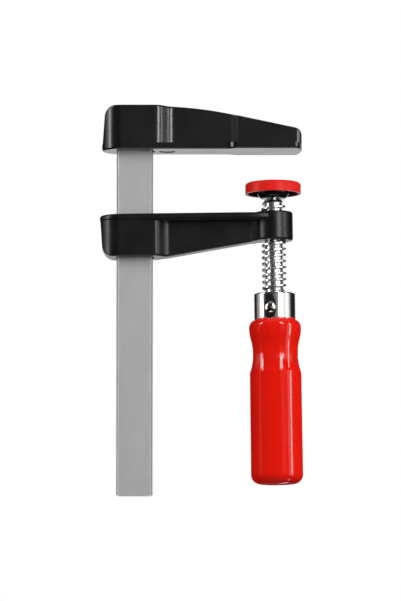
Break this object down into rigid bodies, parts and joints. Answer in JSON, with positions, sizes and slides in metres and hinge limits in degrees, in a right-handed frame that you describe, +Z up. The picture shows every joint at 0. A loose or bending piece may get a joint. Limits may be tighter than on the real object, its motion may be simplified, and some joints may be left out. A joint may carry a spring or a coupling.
{
  "type": "screw clamp",
  "caption": "Light bar clamp: fixed jaw on a serrated flat rail, flanged sliding arm, right-hand screw with a swivelling capped pad and a waisted wooden handle.",
  "frame": {"origin": "on the fixed jaw's flat clamping face, where the screw axis meets it when the arm stands square to the rail", "axes": "+Z up along the rail, from the handle's side to the fixed jaw; +X out along the jaws, away from the rail; +Y through the clamp's thickness, to the back"},
  "size_m": [0.0829, 0.0228, 0.1597],
  "materials": {
    "rail_steel": "satin",
    "jaw_paint": "satin",
    "arm_paint": "satin",
    "spindle_plating": "polished",
    "ring_steel": "satin",
    "plate_black": "gloss",
    "cap_plastic": "satin",
    "ferrule_plating": "polished",
    "handle_lacquer": "gloss",
    "pin_plating": "polished"
  },
  "bodies": {
    "frame": {"rail": "rail_steel", "fixed_jaw": "jaw_paint"},
    "arm": {"sliding_arm": "arm_paint"},
    "carrier": {"retaining_ring": "ring_steel"},
    "screw": {"spindle": "spindle_plating", "ferrule": "ferrule_plating", "handle": "handle_lacquer", "cross_pin": "pin_plating"},
    "pad": {"pressure_plate": "plate_black", "pressure_cap": "cap_plastic"}
  },
  "joints": [
    {"name": "arm_slide", "type": "slide", "parent": "frame", "child": "arm", "axis": [0, 0, 1], "range_m": [-0.095, 0.00225]},
    {"name": "screw_feed", "type": "slide", "parent": "arm", "child": "carrier", "axis": [-0.0122, 0, 0.9999], "range_m": [-0.0045, 0.00875]},
    {"name": "screw_turn", "type": "hinge", "parent": "carrier", "child": "screw", "pos_m": [-0.00021, 0, -0.01767], "axis": [-0.0122, 0, 0.9999], "range_deg": [-648, 1260]},
    {"name": "pad_tilt", "type": "hinge", "parent": "carrier", "child": "pad", "pos_m": [-0.00021, 0, -0.01767], "axis": [0, 1, 0], "range_deg": [-6, 6]}
  ],
  "couplings": [
    {"joint": "screw_turn", "follows": "screw_feed", "rad_per_m": 2513.3}
  ]
}
